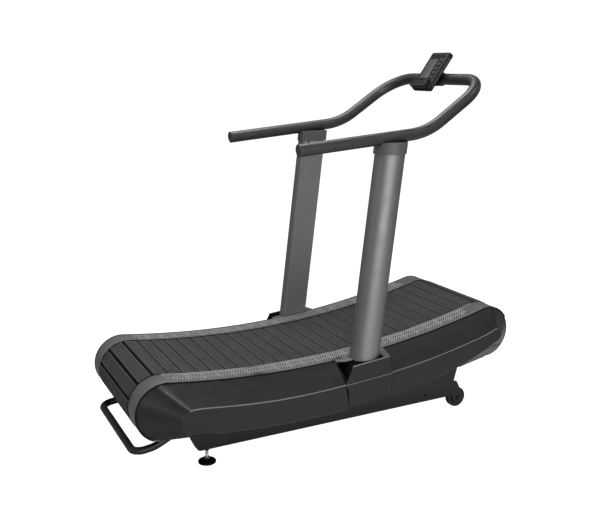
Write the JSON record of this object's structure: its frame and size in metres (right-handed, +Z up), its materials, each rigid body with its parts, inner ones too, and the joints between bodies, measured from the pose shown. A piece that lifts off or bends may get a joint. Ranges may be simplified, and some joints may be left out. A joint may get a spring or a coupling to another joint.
{
  "type": "curved manual treadmill",
  "caption": "Motorless curved treadmill: a slat belt on a concave deck, side covers, raked uprights, a wrap-around handlebar and a small display.",
  "frame": {"origin": "on the floor, at the middle of the overall footprint", "axes": "+X forwards to the console end, +Y to the runner's left, +Z up"},
  "size_m": [1.7959, 0.833, 1.594],
  "materials": {
    "frame_black": "satin black powder coat with a very fine texture",
    "silver_paint": "fine metallic silver lacquer, satin",
    "bar_steel": "satin black tube under the grip",
    "grip_foam": "soft closed-cell foam grip, fine skin",
    "cap_plastic": "moulded end caps",
    "collar_plastic": "fine-textured saddle mouldings",
    "deck_plastic": "satin grey plastic with moulded foot grip",
    "skirt_plastic": "semi-gloss near-black panels",
    "slat_rubber": "ribbed running surface, worn slightly pale",
    "slat_metal": "dark anodised extrusions",
    "belt_rubber": "matte reinforced belt",
    "pulley_plastic": "glass-filled nylon",
    "bright_steel": "turned and zinc plated",
    "bolt_black": "black oxide fasteners",
    "housing_iron": "painted castings",
    "sensor_plastic": "small moulded sensor",
    "foot_rubber": "moulded rubber-faced foot",
    "wheel_plastic": "moulded hub",
    "tyre_rubber": "solid tread ring",
    "console_plastic": "fine spark-eroded black",
    "lens_clear": "grey-green liquid crystal window",
    "key_rubber": "soft membrane keys"
  },
  "bodies": {
    "frame": {"bearing_blocks": "housing_iron", "collar_left": "collar_plastic", "collar_right": "collar_plastic", "collar_screws": "bolt_black", "cross_members": "frame_black", "deck_rail_left": "deck_plastic", "deck_rail_right": "deck_plastic", "drive_belts": "belt_rubber", "end_ring_front_left": "deck_plastic", "end_ring_front_right": "deck_plastic", "end_ring_rear_left": "deck_plastic", "end_ring_rear_right": "deck_plastic", "frame_bolts": "bolt_black", "handlebar_caps": "cap_plastic", "handlebar_sleeve": "grip_foam", "handlebar_tube": "bar_steel", "lift_handle": "frame_black", "roller_studs": "bright_steel", "side_beam_left": "frame_black", "side_beam_right": "frame_black", "side_plate_left": "frame_black", "side_plate_right": "frame_black", "skirt_front_left": "skirt_plastic", "skirt_front_right": "skirt_plastic", "skirt_rear_left": "skirt_plastic", "skirt_rear_right": "skirt_plastic", "slat_carriers": "slat_metal", "slat_treads": "slat_rubber", "speed_sensor": "sensor_plastic", "upright_cover_left": "skirt_plastic", "upright_cover_right": "skirt_plastic", "upright_feet": "frame_black", "upright_left": "silver_paint", "upright_right": "silver_paint", "wheel_axles": "bolt_black"},
    "rear_drum": {"rear_shaft": "bright_steel", "rear_pulleys": "pulley_plastic"},
    "front_drum": {"front_shaft": "bright_steel", "front_pulleys": "pulley_plastic"},
    "guide_roller_1": {"guide_rollers_1": "pulley_plastic"},
    "guide_roller_2": {"guide_rollers_2": "pulley_plastic"},
    "guide_roller_3": {"guide_rollers_3": "pulley_plastic"},
    "guide_roller_4": {"guide_rollers_4": "pulley_plastic"},
    "wheel_left": {"wheel_hub_left": "wheel_plastic", "wheel_tyre_left": "tyre_rubber"},
    "foot_left": {"foot_pad_left": "foot_rubber", "foot_stem_left": "bright_steel"},
    "wheel_right": {"wheel_hub_right": "wheel_plastic", "wheel_tyre_right": "tyre_rubber"},
    "foot_right": {"foot_pad_right": "foot_rubber", "foot_stem_right": "bright_steel"},
    "console": {"console_housing": "console_plastic", "console_lens": "lens_clear", "console_clamp": "console_plastic"},
    "key_1": {"console_key_1": "key_rubber"},
    "key_2": {"console_key_2": "key_rubber"},
    "key_3": {"console_key_3": "key_rubber"},
    "key_4": {"console_key_4": "key_rubber"},
    "key_5": {"console_key_5": "key_rubber"}
  },
  "joints": [
    {"name": "rear_drum_spin", "type": "hinge", "parent": "frame", "child": "rear_drum", "pos_m": [-0.768, 0, 0.249], "axis": [0, 1, 0], "continuous": true},
    {"name": "front_drum_spin", "type": "hinge", "parent": "frame", "child": "front_drum", "pos_m": [0.775, 0, 0.33771], "axis": [0, 1, 0], "continuous": true},
    {"name": "guide_roller_1_spin", "type": "hinge", "parent": "frame", "child": "guide_roller_1", "pos_m": [-0.5421, 0, 0.30807], "axis": [0, 1, 0], "continuous": true},
    {"name": "guide_roller_2_spin", "type": "hinge", "parent": "frame", "child": "guide_roller_2", "pos_m": [-0.15961, 0, 0.29517], "axis": [0, 1, 0], "continuous": true},
    {"name": "guide_roller_3_spin", "type": "hinge", "parent": "frame", "child": "guide_roller_3", "pos_m": [0.22288, 0, 0.32002], "axis": [0, 1, 0], "continuous": true},
    {"name": "guide_roller_4_spin", "type": "hinge", "parent": "frame", "child": "guide_roller_4", "pos_m": [0.60537, 0, 0.38336], "axis": [0, 1, 0], "continuous": true},
    {"name": "wheel_left_spin", "type": "hinge", "parent": "frame", "child": "wheel_left", "pos_m": [0.618, 0.306, 0.046], "axis": [0, 1, 0], "continuous": true},
    {"name": "wheel_right_spin", "type": "hinge", "parent": "frame", "child": "wheel_right", "pos_m": [0.618, -0.306, 0.046], "axis": [0, 1, 0], "continuous": true},
    {"name": "foot_left_level", "type": "slide", "parent": "frame", "child": "foot_left", "axis": [0, 0, 1], "range_m": [-0.01, 0.015]},
    {"name": "foot_right_level", "type": "slide", "parent": "frame", "child": "foot_right", "axis": [0, 0, 1], "range_m": [-0.01, 0.015]},
    {"name": "console_tilt", "type": "hinge", "parent": "frame", "child": "console", "pos_m": [0.684, 0, 1.476], "axis": [0, 1, 0], "range_deg": [-15, 20]},
    {"name": "key_1_press", "type": "slide", "parent": "console", "child": "key_1", "axis": [0.809, 0, -0.5878], "range_m": [0, 0.0009], "stiffness_N_per_m": 1200},
    {"name": "key_2_press", "type": "slide", "parent": "console", "child": "key_2", "axis": [0.809, 0, -0.5878], "range_m": [0, 0.0009], "stiffness_N_per_m": 1200},
    {"name": "key_3_press", "type": "slide", "parent": "console", "child": "key_3", "axis": [0.809, 0, -0.5878], "range_m": [0, 0.0009], "stiffness_N_per_m": 1200},
    {"name": "key_4_press", "type": "slide", "parent": "console", "child": "key_4", "axis": [0.809, 0, -0.5878], "range_m": [0, 0.0009], "stiffness_N_per_m": 1200},
    {"name": "key_5_press", "type": "slide", "parent": "console", "child": "key_5", "axis": [0.809, 0, -0.5878], "range_m": [0, 0.0009], "stiffness_N_per_m": 1200}
  ],
  "couplings": [
    {"joint": "front_drum_spin", "follows": "rear_drum_spin", "ratio": 1},
    {"joint": "guide_roller_1_spin", "follows": "rear_drum_spin", "ratio": 4.89},
    {"joint": "guide_roller_2_spin", "follows": "rear_drum_spin", "ratio": 4.89},
    {"joint": "guide_roller_3_spin", "follows": "rear_drum_spin", "ratio": 4.89},
    {"joint": "guide_roller_4_spin", "follows": "rear_drum_spin", "ratio": 4.89}
  ]
}
